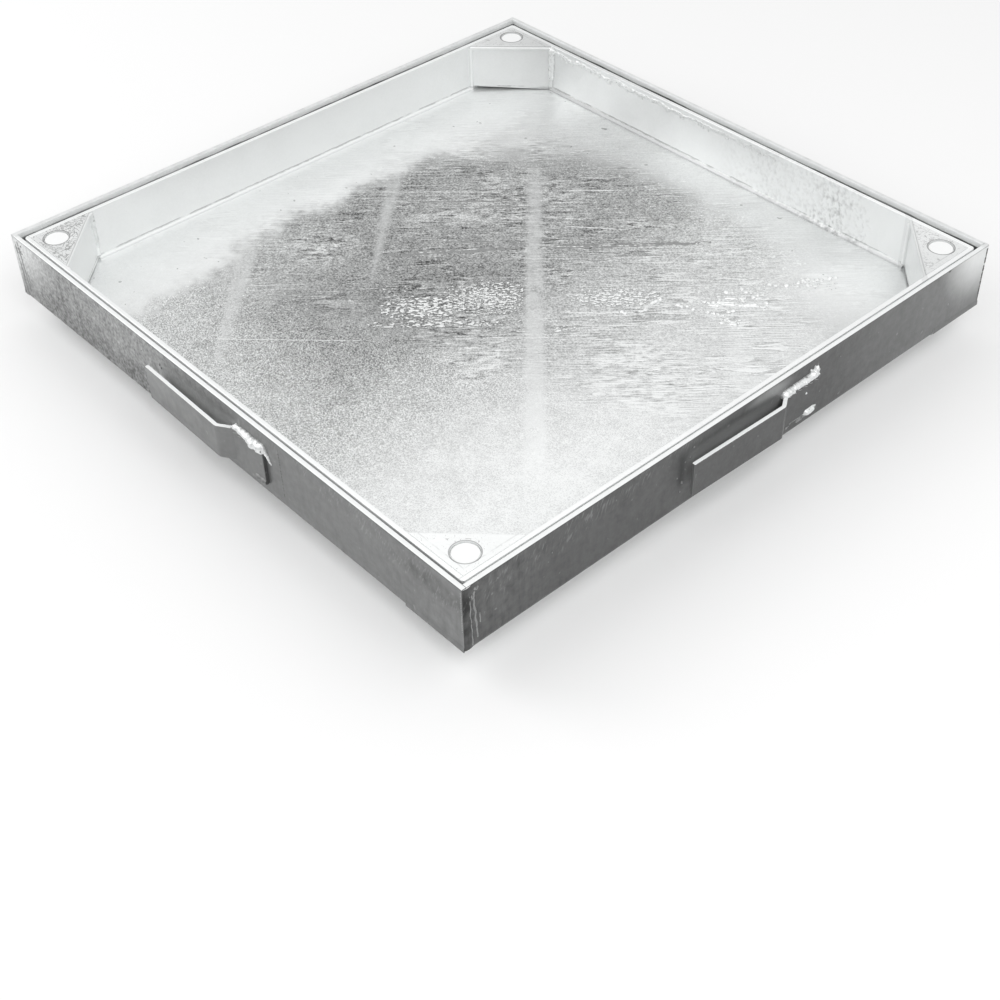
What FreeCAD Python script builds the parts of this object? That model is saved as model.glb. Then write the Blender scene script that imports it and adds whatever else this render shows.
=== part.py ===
import FreeCAD, Part
import math
import os

# A square recessed cover for a paved surface, in hot-dip galvanised steel.
# A frame of four pressed angles is cast into the ground. A shallow welded tray lies in it on a
# rubber strip and is filled with paving. Four bolts, reached through plugged holes in the
# corners of the tray, hold it down into long nuts welded under the frame.
#
# Millimetres, +Z up. The origin is under the middle of the cover, level with the ends of the
# long nuts, on which the cover stands when it is put down.
# The front side lies towards -Y. Everything that comes four times is made at the front side or
# at the front left corner, and then turned about Z.

# Frame
frame_side = 570.0
frame_height = 62.0
frame_wall = 4.0
flange_width = 60.0
bend_inner_radius = 1.5
edge_round = 0.7
seam_bead_width = 8.0
seam_bead_height = 0.7
flange_corner_clip = 4.0

# Tray
tray_gap = 3.5
tray_drop = 3.0
tray_wall = 4.0
tray_corner_round = 3.0
floor_thickness = 3.0
foot_bead = 3.0

# Corner boxes of the tray
corner_leg = 56.5
gusset_thickness = 3.0
gusset_slit_open = 3.5
gusset_slit_closed = 0.3
gusset_bead_radius = 2.5
lid_bead_radius = 1.6
corner_plate_thickness = 3.0

# Rubber strip between the frame and the tray
seal_width = 15.0
seal_height = 5.0
seal_setback = 3.0

# Straps that tie the frame into the concrete
strap_width = 30.0
strap_thickness = 3.0
strap_tip_from_middle = 73.5
strap_tail = 95.0
strap_ramp = 11.5
strap_pad = 37.0
strap_gap_at_bend = 7.5
strap_gap_at_tip = 5.5
strap_inner_radius = 2.0
strap_bead_radius = 3.2
strap_bead_pitch = 6.0
weld_waist_share = 0.7

# Bolts, washers, nuts and plugs
bolt_inset = 27.0
thread_diameter = 10.0
thread_crest_diameter = 8.5
thread_clearance = 0.1
bolt_hole_clearance = 1.0
bolt_length = 30.0
bolt_head_diameter = 16.0
bolt_head_height = 10.0
bolt_chamfer = 1.0
socket_flats = 8.0
socket_depth = 5.0
washer_clearance = 0.25
washer_diameter = 18.0
washer_thickness = 1.6
nut_flats = 17.0
nut_length = 20.0
nut_bore_chamfer = 1.2
nut_weld_leg = 2.5
plug_hole_diameter = 21.0
plug_clearance = 0.25
plug_recess = 0.8
plug_depth = 8.0
plug_wall = 1.6
plug_snap = 0.5
plug_snap_height = 1.5

# Levels
flange_under = nut_length
flange_top = flange_under + frame_wall
frame_top = flange_under + frame_height
tray_under = flange_top + seal_height
floor_top = tray_under + floor_thickness
tray_top = frame_top - tray_drop
corner_plate_under = tray_top - corner_plate_thickness

# Half widths, all measured from the middle
frame_half = frame_side / 2
frame_inner = frame_half - frame_wall
flange_inner = frame_half - flange_width
tray_half = frame_inner - tray_gap
tray_inner = tray_half - tray_wall
bolt_at = frame_half - bolt_inset
bolt_hole_radius = thread_diameter / 2 + bolt_hole_clearance

# How far a cutting solid reaches past what it cuts
past = 2.0

SIDES = ("front", "right", "back", "left")
CORNERS = ("front_left", "front_right", "back_right", "back_left")


def unit(u, v):
    length = math.hypot(u, v)
    return u / length, v / length


def outline(corners, place):
    """Closed face whose corners (u, v, radius) are rounded to their radius."""
    edges = []
    previous_end = None
    first_start = None
    count = len(corners)
    for index, (u, v, radius) in enumerate(corners):
        before = corners[index - 1]
        after = corners[(index + 1) % count]
        to_before = unit(before[0] - u, before[1] - v)
        to_after = unit(after[0] - u, after[1] - v)
        if radius > 0:
            cosine = to_before[0] * to_after[0] + to_before[1] * to_after[1]
            half_angle = math.acos(max(-1.0, min(1.0, cosine))) / 2
            tangent = radius / math.tan(half_angle)
            bisector = unit(to_before[0] + to_after[0], to_before[1] + to_after[1])
            nearest = radius / math.sin(half_angle) - radius
            start = place(u + tangent * to_before[0], v + tangent * to_before[1])
            middle = place(u + nearest * bisector[0], v + nearest * bisector[1])
            end = place(u + tangent * to_after[0], v + tangent * to_after[1])
        else:
            start = place(u, v)
            end = start
        if previous_end is not None:
            edges.append(Part.makeLine(previous_end, start))
        if radius > 0:
            edges.append(Part.Arc(start, middle, end).toShape())
        if first_start is None:
            first_start = start
        previous_end = end
    edges.append(Part.makeLine(previous_end, first_start))
    return Part.Face(Part.Wire(edges))


def prism(corners, bottom, top):
    """Upright solid with the given plan."""
    face = outline(corners, lambda u, v: FreeCAD.Vector(u, v, bottom))
    return face.extrude(FreeCAD.Vector(0, 0, top - bottom))


def along_x(corners, start, end):
    """Solid with the given section in Y and Z, running along X."""
    face = outline(corners, lambda u, v: FreeCAD.Vector(start, u, v))
    return face.extrude(FreeCAD.Vector(end - start, 0, 0))


def block(x_range, y_range, z_range):
    corner = FreeCAD.Vector(x_range[0], y_range[0], z_range[0])
    size = (high - low for low, high in (x_range, y_range, z_range))
    return Part.makeBox(*size, corner)


def rod(x, y, bottom, top, radius):
    return Part.makeCylinder(radius, top - bottom, FreeCAD.Vector(x, y, bottom))


def cone(x, y, bottom, top, bottom_radius, top_radius):
    return Part.makeCone(bottom_radius, top_radius, top - bottom, FreeCAD.Vector(x, y, bottom))


def hexagon(x, y, bottom, top, flats):
    radius = flats / math.sqrt(3)
    angles = [math.radians(60 * step) for step in range(6)]
    corners = [(x + radius * math.cos(a), y + radius * math.sin(a), 0) for a in angles]
    return prism(corners, bottom, top)


def turned(shape, quarter):
    """Copy of a shape made at the front, turned to one of the four sides or corners."""
    copy = shape.copy()
    copy.rotate(FreeCAD.Vector(0, 0, 0), FreeCAD.Vector(0, 0, 1), 90 * quarter)
    return copy


def seam_bead(start, end):
    """Low weld bead along X, from start to end, whose flat side lies on Z = 0."""
    half = seam_bead_width / 2
    radius = (half ** 2 + seam_bead_height ** 2) / (2 * seam_bead_height)
    centre = FreeCAD.Vector(start, 0, seam_bead_height - radius)
    bead = Part.makeCylinder(radius, end - start, centre, FreeCAD.Vector(1, 0, 0))
    return bead.common(block((start, end), (-half, half), (0, seam_bead_height + past)))


def laid(bead, axis, angle, place):
    """The bead, turned about an axis through the origin and moved to its place."""
    bead.rotate(FreeCAD.Vector(0, 0, 0), FreeCAD.Vector(*axis), angle)
    bead.translate(FreeCAD.Vector(*place))
    return bead


def make_frame_seams():
    """Beads over the joints of a side with its neighbours: up the joint at its start, under
    the flange at its end, and along the foot of the upstand, down to the next flange's round."""
    bend_outer_radius = bend_inner_radius + frame_wall
    upright = seam_bead(0, frame_top - edge_round - flange_top)
    upright = laid(upright, (1, 0, 0), 90, (0, 0, 0))
    upright = laid(upright, (0, 1, 0), -90, (-frame_inner, -frame_half, flange_top))
    under = seam_bead(0, flange_width - bend_outer_radius - flange_corner_clip)
    under = laid(under, (1, 0, 0), 180, (0, 0, 0))
    under = laid(under, (0, 0, 1), 90, (flange_inner, -frame_half + bend_outer_radius, flange_under))
    along_foot = seam_bead(flange_inner, frame_half)
    along_foot = laid(along_foot, (1, 0, 0), 90, (0, -frame_half, flange_top))
    over_round = block(
        (flange_inner, frame_half), (-frame_half - past, 0), (flange_top - frame_wall / 4, frame_top)
    )
    return [upright, under, along_foot.common(over_round)]


def round_under_flange_end():
    """What is cut from the start of a flange, so that its end is rounded like the bend."""
    edge = block(
        (-frame_half - past, -frame_half + frame_wall),
        (-frame_half - past, -flange_inner + past),
        (flange_under - past, flange_top),
    )
    start = FreeCAD.Vector(-frame_half + frame_wall, -frame_half - past, flange_top)
    roll = Part.makeCylinder(frame_wall, flange_width + 2 * past, start, FreeCAD.Vector(0, 1, 0))
    return edge.cut(roll)


def make_frame_angle():
    """Pressed angle. Its flange runs through to the corner where the side starts and butts
    against the next flange at its end. Its upstand does the opposite."""
    outer = -frame_half
    bend_outer_radius = bend_inner_radius + frame_wall
    section = [
        (outer, frame_top, edge_round),
        (outer + frame_wall, frame_top, edge_round),
        (outer + frame_wall, flange_top, bend_inner_radius),
        (outer + flange_width, flange_top, edge_round),
        (outer + flange_width, flange_under, edge_round),
        (outer, flange_under, bend_outer_radius),
    ]
    angle = along_x(section, -frame_half, frame_half)
    whole_depth = (outer - past, outer + flange_width + past)
    upstand_notch = block(
        (-frame_half - past, -frame_inner), whole_depth, (flange_top, frame_top + past)
    )
    end_run = (flange_inner, frame_half + past)
    flange_notch = block(end_run, whole_depth, (flange_under - past, flange_top))
    bend_notch = block(
        end_run,
        (outer + frame_wall, outer + flange_width + past),
        (flange_top, flange_top + bend_inner_radius),
    )
    hole = rod(-bolt_at, -bolt_at, flange_under - past, flange_top + past, bolt_hole_radius)
    clip = prism(
        [
            (flange_inner, -flange_inner, 0),
            (flange_inner - flange_corner_clip, -flange_inner, 0),
            (flange_inner, -flange_inner - flange_corner_clip, 0),
        ],
        flange_under - past,
        flange_top + past,
    )
    angle = angle.cut([upstand_notch, flange_notch, bend_notch, hole, clip, round_under_flange_end()])
    return angle.fuse(make_frame_seams())


def parallel(points, distance):
    """The same open line, moved sideways by a distance, with its corners kept sharp."""
    moved = []
    for index, (u, v) in enumerate(points):
        normals = []
        for first, second in ((index - 1, index), (index, index + 1)):
            if first >= 0 and second < len(points):
                run = unit(points[second][0] - points[first][0], points[second][1] - points[first][1])
                normals.append((-run[1], run[0]))
        normal = unit(sum(n[0] for n in normals), sum(n[1] for n in normals))
        stretch = normal[0] * normals[0][0] + normal[1] * normals[0][1]
        moved.append((u + normal[0] * distance / stretch, v + normal[1] * distance / stretch))
    return moved


def weld_row(start, end, y, z, radius):
    """Row of weld drops along X, as one turned solid with a waist between the drops."""
    count = max(1, round((end - start) / strap_bead_pitch))
    pitch = (end - start) / count
    waist = radius * weld_waist_share
    profile = [(start, 0), (start, waist)]
    for step in range(count):
        left = start + step * pitch
        profile += [(left + pitch / 2, radius), (left + pitch, waist)]
    profile.append((end, 0))
    wire = Part.makePolygon([FreeCAD.Vector(u, y - v, z) for u, v in profile + profile[:1]])
    return Part.Face(wire).revolve(FreeCAD.Vector(start, y, z), FreeCAD.Vector(1, 0, 0), 360)


def make_tie_strap():
    """Flat bar welded to the frame by its pad, with a joggle and a free tail to grip concrete."""
    tip = -strap_tip_from_middle
    bend = tip + strap_tail
    meet = bend + strap_ramp
    end = meet + strap_pad
    face_line = -frame_half
    inner = [
        (tip, face_line - strap_gap_at_tip),
        (bend, face_line - strap_gap_at_bend),
        (meet, face_line),
        (end, face_line),
    ]
    outer = parallel(inner, -strap_thickness)
    small, large = strap_inner_radius, strap_inner_radius + strap_thickness
    inner_radii = (edge_round, small, large, 0)
    outer_radii = (edge_round, large, small, edge_round)
    plan = [(u, v, r) for (u, v), r in zip(inner, inner_radii)]
    plan += [(u, v, r) for (u, v), r in reversed(list(zip(outer, outer_radii)))]
    middle = flange_under + frame_height / 2
    bottom = middle - strap_width / 2
    top = middle + strap_width / 2
    strap = prism(plan, bottom, top)
    bead_y = face_line - strap_thickness / 2
    foot_start = end - strap_pad / 3
    top_bead = weld_row(meet, end, bead_y, top, strap_bead_radius)
    under_bead = weld_row(foot_start, end, bead_y, bottom, strap_bead_radius)
    frame_side_of_face = block(
        (tip, end + past), (face_line, face_line + strap_width), (bottom - strap_width, top + strap_width)
    )
    return strap.fuse([top_bead, under_bead]).cut(frame_side_of_face).removeSplitter()


def make_long_nut():
    """Long hexagon nut with its weld collar, standing on the underside of the flange."""
    x = y = -bolt_at
    across_corners = nut_flats * 2 / math.sqrt(3)
    nut = hexagon(x, y, 0, nut_length, nut_flats)
    corner_drop = (across_corners - nut_flats) / 2 * math.tan(math.radians(30))
    crown = cone(x, y, 0, corner_drop, nut_flats / 2, across_corners / 2)
    crown = crown.fuse(rod(x, y, corner_drop, nut_length, across_corners / 2 + past))
    nut = nut.common(crown)
    collar_radius = nut_flats / 2 + nut_weld_leg
    collar = cone(x, y, nut_length - nut_weld_leg, nut_length, nut_flats / 2, collar_radius)
    bolt_end = floor_top + washer_thickness - bolt_length
    thread_start = bolt_end - thread_clearance
    crest = thread_crest_diameter / 2
    bore = rod(x, y, -past, nut_length + past, crest)
    engaged = rod(x, y, thread_start, nut_length + past, thread_diameter / 2 + thread_clearance)
    mouth = cone(x, y, 0, nut_bore_chamfer, crest + nut_bore_chamfer, crest)
    return nut.fuse(collar).cut([bore, engaged, mouth]).removeSplitter()


def make_tray_floor():
    span = (-tray_inner, tray_inner)
    floor = block(span, span, (tray_under, floor_top))
    hole = rod(-bolt_at, -bolt_at, tray_under - past, floor_top + past, bolt_hole_radius)
    return floor.cut([turned(hole, quarter) for quarter in range(4)])


def rounded_top(shape, lines):
    """The shape with the named long edges of its top rounded. A line is given by its two ends."""
    edges = []
    for first, second in lines:
        middle = Part.Vertex(*((a + b) / 2 for a, b in zip(first, second)), tray_top)
        edges += [edge for edge in shape.Edges if edge.distToShape(middle)[0] < 0.01]
    return shape.makeFillet(edge_round, edges)


def make_tray_wall():
    """Flat bar on edge with a weld bead along its foot, between the two corner boxes."""
    plan = [
        (-tray_half, -tray_half, tray_corner_round),
        (tray_inner, -tray_half, 0),
        (tray_inner, -tray_inner, 0),
        (-tray_half, -tray_inner, 0),
    ]
    wall = prism(plan, tray_under, tray_top)
    reach = tray_inner - corner_leg
    outer_line = ((-reach, -tray_half), (reach, -tray_half))
    inner_line = ((-reach, -tray_inner), (reach, -tray_inner))
    wall = rounded_top(wall, [outer_line, inner_line])
    bead = Part.makeCylinder(
        foot_bead, 2 * reach, FreeCAD.Vector(-reach, -tray_inner, floor_top), FreeCAD.Vector(1, 0, 0)
    )
    inside = block((-reach, reach), (-tray_inner, 0), (floor_top, tray_top))
    return wall.fuse(bead.common(inside)).removeSplitter()


def make_corner_gusset():
    """Upright plate across a corner of the tray, welded to both walls and to its lid. Water
    drains through a slit under it, which is wide at the front wall and closes at the left wall."""
    short_leg = corner_leg - gusset_thickness * math.sqrt(2)
    at_left = (-tray_inner, -tray_inner + corner_leg)
    at_front = (-tray_inner + corner_leg, -tray_inner)
    plan = [
        (*at_left, 0),
        (-tray_inner, -tray_inner + short_leg, 0),
        (-tray_inner + short_leg, -tray_inner, 0),
        (*at_front, 0),
    ]
    plate = prism(plan, floor_top + gusset_slit_closed, corner_plate_under)
    span = corner_leg * math.sqrt(2)
    rise = math.degrees(math.atan((gusset_slit_open - gusset_slit_closed) / span))
    wedge = block((-past, span + past), (-2 * corner_leg, 2 * corner_leg), (-gusset_slit_open - past, 0))
    wedge.rotate(FreeCAD.Vector(0, 0, 0), FreeCAD.Vector(0, 1, 0), -rise)
    wedge.rotate(FreeCAD.Vector(0, 0, 0), FreeCAD.Vector(0, 0, 1), -45)
    wedge.translate(FreeCAD.Vector(*at_left, floor_top + gusset_slit_closed))
    plate = plate.cut(wedge)
    tray_inside = block((-tray_inner, 0), (-tray_inner, 0), (floor_top, corner_plate_under))
    bead_foot = floor_top + foot_bead
    beads = [rod(*place, bead_foot, corner_plate_under, gusset_bead_radius) for place in (at_left, at_front)]
    lid_bead = Part.makeCylinder(
        lid_bead_radius, span, FreeCAD.Vector(*at_left, corner_plate_under), FreeCAD.Vector(1, -1, 0)
    )
    box_side = prism([(-tray_inner, -tray_inner, 0), (*at_front, 0), (*at_left, 0)], 0, frame_top)
    lid_bead = lid_bead.common(block((-tray_inner, 0), (-tray_inner, 0), (0, frame_top))).cut(box_side)
    return plate.fuse([bead.common(tray_inside) for bead in beads] + [lid_bead]).removeSplitter()


def make_corner_plate():
    """Three-cornered lid of a corner box, level with the top of the walls."""
    at_front = (-tray_inner + corner_leg, -tray_inner)
    at_left = (-tray_inner, -tray_inner + corner_leg)
    plan = [(-tray_inner, -tray_inner, 0), (*at_front, 0), (*at_left, 0)]
    plate = rounded_top(prism(plan, corner_plate_under, tray_top), [(at_front, at_left)])
    radius = plug_hole_diameter / 2
    return plate.cut(rod(-bolt_at, -bolt_at, corner_plate_under - past, tray_top + past, radius))


def make_hole_plug():
    """Push-in plastic cap, open underneath, with a bead that snaps under the corner plate."""
    x = y = -bolt_at
    radius = plug_hole_diameter / 2 - plug_clearance
    top = tray_top - plug_recess
    bottom = top - plug_depth
    snap_top = corner_plate_under - plug_clearance
    snap_middle = snap_top - plug_snap_height / 2
    snap_bottom = snap_top - plug_snap_height
    body = rod(x, y, bottom, top, radius)
    body = body.makeChamfer(edge_round, [edge for edge in body.Edges if abs(edge.BoundBox.ZMin - top) < 0.01])
    lower = cone(x, y, snap_bottom, snap_middle, radius, radius + plug_snap)
    upper = cone(x, y, snap_middle, snap_top, radius + plug_snap, radius)
    hollow = rod(x, y, bottom - past, top - plug_wall, radius - plug_wall)
    return body.fuse([lower, upper]).cut(hollow).removeSplitter()


def make_washer():
    bottom = floor_top
    top = floor_top + washer_thickness
    disc = rod(-bolt_at, -bolt_at, bottom, top, washer_diameter / 2)
    hole_radius = thread_diameter / 2 + washer_clearance
    return disc.cut(rod(-bolt_at, -bolt_at, bottom - past, top + past, hole_radius))


def make_bolt():
    """Cap screw with a hexagon socket, its head down on the washer."""
    x = y = -bolt_at
    seat = floor_top + washer_thickness
    head_top = seat + bolt_head_height
    tip = seat - bolt_length
    head_radius = bolt_head_diameter / 2
    shank_radius = thread_diameter / 2
    head = rod(x, y, seat, head_top - bolt_chamfer, head_radius)
    head_edge = cone(x, y, head_top - bolt_chamfer, head_top, head_radius, head_radius - bolt_chamfer)
    shank = rod(x, y, tip + bolt_chamfer, seat, shank_radius)
    point = cone(x, y, tip, tip + bolt_chamfer, shank_radius - bolt_chamfer, shank_radius)
    socket = hexagon(x, y, head_top - socket_depth, head_top + past, socket_flats)
    return head.fuse([head_edge, shank, point]).cut(socket).removeSplitter()


def make_seal_strip():
    inner = flange_inner + seal_setback
    outer = inner + seal_width
    ring = block((-outer, outer), (-outer, outer), (flange_top, tray_under))
    hole = block((-inner, inner), (-inner, inner), (flange_top - past, tray_under + past))
    return ring.cut(hole)


def main():
    os.makedirs("parts", exist_ok=True)
    at_sides = {
        "frame_angle": make_frame_angle(),
        "tie_strap": make_tie_strap(),
        "tray_wall": make_tray_wall(),
    }
    at_corners = {
        "long_nut": make_long_nut(),
        "corner_gusset": make_corner_gusset(),
        "corner_plate": make_corner_plate(),
        "hole_plug": make_hole_plug(),
        "bolt_washer": make_washer(),
        "locking_bolt": make_bolt(),
    }
    pieces = {
        "tray_floor": make_tray_floor(),
        "seal_strip": make_seal_strip(),
    }
    for repeated, places in ((at_sides, SIDES), (at_corners, CORNERS)):
        for name, shape in repeated.items():
            for quarter, place in enumerate(places):
                pieces[f"{name}_{place}"] = turned(shape, quarter)
    for name, shape in pieces.items():
        shape.exportStep(f"parts/{name}.step")


main()
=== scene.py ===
import math
import random
from functools import reduce

import bmesh
import bpy
import numpy as np
from mathutils import Matrix, Vector, noise


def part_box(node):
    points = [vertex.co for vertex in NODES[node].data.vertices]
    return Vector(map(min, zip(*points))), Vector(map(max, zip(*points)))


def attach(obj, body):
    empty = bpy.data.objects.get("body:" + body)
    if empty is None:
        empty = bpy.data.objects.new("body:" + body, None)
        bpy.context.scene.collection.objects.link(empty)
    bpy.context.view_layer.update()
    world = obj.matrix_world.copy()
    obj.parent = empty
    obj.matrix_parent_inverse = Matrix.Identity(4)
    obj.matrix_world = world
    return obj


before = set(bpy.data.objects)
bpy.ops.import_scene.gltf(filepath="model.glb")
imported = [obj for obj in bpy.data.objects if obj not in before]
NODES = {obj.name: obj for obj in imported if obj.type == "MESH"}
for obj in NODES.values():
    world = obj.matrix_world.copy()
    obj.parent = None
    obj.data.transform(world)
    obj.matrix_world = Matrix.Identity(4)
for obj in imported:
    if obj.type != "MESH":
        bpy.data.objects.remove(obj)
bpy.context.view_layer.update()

BODY = "root"
SIDES = ("front", "right", "back", "left")
CORNERS = ("front_left", "front_right", "back_right", "back_left")
X_WAY, Y_WAY, Z_WAY = Vector((1, 0, 0)), Vector((0, 1, 0)), Vector((0, 0, 1))

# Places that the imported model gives
FLOOR_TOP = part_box("tray_floor")[1][2]
TRAY_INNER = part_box("tray_floor")[1][0]
TRAY_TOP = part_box("tray_wall_front")[1][2]
FRAME_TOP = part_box("frame_angle_front")[1][2]
FRAME_HALF = -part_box("tie_strap_front")[1][1]
PLUG_INNER, PLUG_OUTER = (end[0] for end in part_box("hole_plug_back_right"))
PLUG_CENTRE = (PLUG_INNER + PLUG_OUTER) / 2
PLUG_RADIUS = PLUG_OUTER - PLUG_CENTRE
# Minus the sum of x and y in the plate of the box at the right corner
GUSSET_SUM = -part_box("corner_gusset_back_right")[0][0] - TRAY_INNER
# Foot of the frame without the bead under it
FRAME_FOOT = FRAME_TOP - 0.062

# Camera, as the photograph was taken
CAMERA_AZIMUTH = math.radians(48.627)
CAMERA_ELEVATION = math.radians(42.481)
CAMERA_ROLL = math.radians(-1.41)
CAMERA_DISTANCE = 1.08557
CAMERA_TARGET = Vector((0.23872, -0.20965, 0.082))
CAMERA_LENS = 57.77
CAMERA_SENSOR = 36

# Direction in which the sheet of the tray floor was dragged out of the melt
DRAG_ANGLE = math.radians(48)


def add_object(name, data):
    made = bpy.data.objects.new(name, data)
    bpy.context.scene.collection.objects.link(made)
    return made


def make_camera():
    back = Vector((
        math.sin(CAMERA_AZIMUTH) * math.cos(CAMERA_ELEVATION),
        -math.cos(CAMERA_AZIMUTH) * math.cos(CAMERA_ELEVATION),
        math.sin(CAMERA_ELEVATION),
    ))
    level = Z_WAY.cross(back).normalized()
    up = back.cross(level)
    cosine, sine = math.cos(CAMERA_ROLL), math.sin(CAMERA_ROLL)
    right = cosine * level + sine * up
    up = cosine * up - sine * level
    data = bpy.data.cameras.new("view_camera")
    data.lens = CAMERA_LENS
    data.sensor_width = CAMERA_SENSOR
    data.clip_end = 50
    camera = add_object("view_camera", data)
    turn = Matrix((right, up, back)).transposed().to_4x4()
    camera.matrix_world = Matrix.Translation(CAMERA_TARGET + CAMERA_DISTANCE * back) @ turn
    bpy.context.scene.camera = camera


def set_inputs(node, inputs):
    """Sets inputs of a node to numbers, vectors or Values."""
    for key, value in inputs.items():
        if isinstance(value, Value):
            node.id_data.links.new(value.socket, node.inputs[key])
        else:
            node.inputs[key].default_value = value


def add_node(tree, kind, inputs=(), **settings):
    made = tree.nodes.new(kind)
    for key, value in settings.items():
        setattr(made, key, value)
    set_inputs(made, dict(inputs))
    return made


def math_node(operation, swapped=False):
    """Method that puts its value, first or swapped to the end, through a math node."""
    def method(self, *others):
        values = (*others, self) if swapped else (self, *others)
        return self.made("ShaderNodeMath", dict(enumerate(values)), operation=operation)
    return method


class Value:
    """Number or vector that a shader node gives. What is made of it adds nodes to its tree."""

    def __init__(self, socket):
        self.socket = socket

    def made(self, kind, inputs, output=0, **settings):
        """Output of a new node."""
        return Value(add_node(self.socket.id_data, kind, inputs, **settings).outputs[output])

    __add__ = math_node("ADD")
    __sub__, __rsub__ = math_node("SUBTRACT"), math_node("SUBTRACT", swapped=True)
    __mul__, __truediv__ = math_node("MULTIPLY"), math_node("DIVIDE")
    __abs__, root = math_node("ABSOLUTE"), math_node("SQRT")
    largest, smallest = math_node("MAXIMUM"), math_node("MINIMUM")

    def smooth(self, low, high, least=0, most=1):
        """Smooth step from least to most as the value goes from low to high."""
        inputs = {"Value": self, "From Min": low, "From Max": high, "To Min": least, "To Max": most}
        return self.made("ShaderNodeMapRange", inputs, interpolation_type="SMOOTHSTEP")

    def between(self, least, most):
        return self.smooth(0, 1, least, most)

    def ramp(self, *stops):
        """Smooth range of numbers: each stop is (position, number)."""
        made = self.made("ShaderNodeValToRGB", {"Fac": self}, "Color")
        elements = made.socket.node.color_ramp.elements
        while len(elements) < len(stops):
            elements.new(0.5)
        for element, (position, number) in zip(elements, stops):
            element.position = position
            element.color = (number, number, number, 1)
        return made

    def noise(self, scale, detail=2, roughness=0.5, distortion=0):
        inputs = {
            "Vector": self, "Scale": scale, "Detail": detail,
            "Roughness": roughness, "Distortion": distortion,
        }
        return self.made("ShaderNodeTexNoise", inputs, "Fac")

    def swing(self, scale, amplitude, detail=2):
        """Noise about zero, up to the amplitude."""
        return (self.noise(scale, detail) - 0.5) * (2 * amplitude)

    def vector(self, operation, other, output="Vector"):
        return self.made("ShaderNodeVectorMath", {0: self, 1: other}, output, operation=operation)

    def dot(self, direction):
        return self.vector("DOT_PRODUCT", direction, "Value")

    def reach(self):
        """How far out a place lies along X or Y, whichever is more."""
        return abs(self.dot(X_WAY)).largest(abs(self.dot(Y_WAY)))

    def spot(self, centre, inner, outer):
        """Soft round mask: 1 within the inner radius, 0 beyond the outer one."""
        return self.vector("DISTANCE", centre, "Value").smooth(outer, inner)

    def spots(self, rows):
        """Sum of soft round spots: centre, inner and outer radius, strength."""
        return reduce(Value.__add__, [self.spot(*shape) * strength for *shape, strength in rows])

    def stripe(self, start, end, start_half, end_half, soft, fade):
        """Soft mask of a straight stripe on the level, between two places (x, y). Its half width
        changes from start to end, and it fades out over a share of its length at both ends."""
        run = Vector(end) - Vector(start)
        length = run.length
        run.normalize()
        share = (self.dot((*run, 0)) - run.dot(Vector(start))) / length
        side = Vector((-run.y, run.x))
        across = self.dot((*side, 0)) - side.dot(Vector(start))
        inside = share * (end_half - start_half) + start_half - abs(across)
        inside += self.swing(260, 0.0022)
        return inside.smooth(-soft, soft) * (share.smooth(0, fade) * share.smooth(1, 1 - fade))

    def stretched(self, angle, factors):
        """Coordinates turned about Z and squeezed along the new axes, for streaks."""
        inputs = {"Vector": self, "Angle": -angle}
        turned = self.made("ShaderNodeVectorRotate", inputs, rotation_type="Z_AXIS")
        return turned.vector("MULTIPLY", factors)

    def grey(self, tint):
        """Nearly neutral colour of the given brightness."""
        parts = {key: self * share for key, share in zip(("Red", "Green", "Blue"), tint)}
        return self.made("ShaderNodeCombineColor", parts)


ZINC_TINT = (0.985, 1, 0.997)
DARKEST_TONE = 0.02
# Palest tones of rough and of smooth zinc
ROUGH_WHITE, SMOOTH_WHITE = 0.97, 0.98


def new_material(name):
    """Material, its unfinished surface, and the place on the part for its noise."""
    material = bpy.data.materials.new(name)
    material.use_nodes = True
    tree = material.node_tree
    tree.nodes.clear()
    surface = add_node(tree, "ShaderNodeBsdfPrincipled")
    add_node(tree, "ShaderNodeOutputMaterial", {"Surface": Value(surface.outputs[0])})
    return material, surface, Value(add_node(tree, "ShaderNodeTexCoord").outputs["Object"])


def finish_surface(surface, tone, roughness, relief, metallic, depth=1, tint=ZINC_TINT):
    """depth is the height of the bumps where relief is 1."""
    bumps = relief.made("ShaderNodeBump", {"Height": relief, "Distance": depth}, "Normal")
    set_inputs(surface, {
        "Base Color": tone.largest(DARKEST_TONE).grey(tint), "Normal": bumps,
        "Roughness": roughness, "Metallic": metallic,
    })


def metres(value):
    """Millimetres in metres, also where they stand in rows."""
    return value / 1000 if isinstance(value, (int, float)) else [metres(part) for part in value]


def on_floor(rows):
    """The same rows in metres, with each centre lifted to the top of the tray floor."""
    return [((*metres(centre), FLOOR_TOP), *metres((inner, outer)), *tone)
            for centre, inner, outer, *tone in rows]


# In the tables marked mm, all lengths and places are in millimetres.

# Wiped stripes on the tray floor (mm): start, end, half width at each, strength
WIPES = (
    ((-143, 181), (225, -165), 6.2, 9.2, 0.95),
    ((-205, 62), (-74, -75), 7.8, 0.8, 0.95),
    ((-212.5, -96.5), (-70, -237), 9.2, 3.6, 0.75),
    ((20, 245), (105, 165), 6, 9, 0.35),
    ((160, 115), (262, 30), 7, 12, 0.4),
)
# How softly a stripe ends at its sides, in metres, and at its ends, as a share of its length
WIPE_SOFT, WIPE_FADE = 0.0036, 0.16
# Patches of the tray floor with dimpled zinc (mm): centre, inner and outer radius
DIMPLED = (
    ((-85, 110), 25, 80),
    ((5, -40), 15, 65),
    ((160, 10), 20, 60),
    ((-150, -65), 10, 45),
    ((61, -76), 15, 40),
    ((173, 5), 20, 55),
    ((-186, 138), 12, 36),
    ((-140, 190), 10, 40),
)
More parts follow.
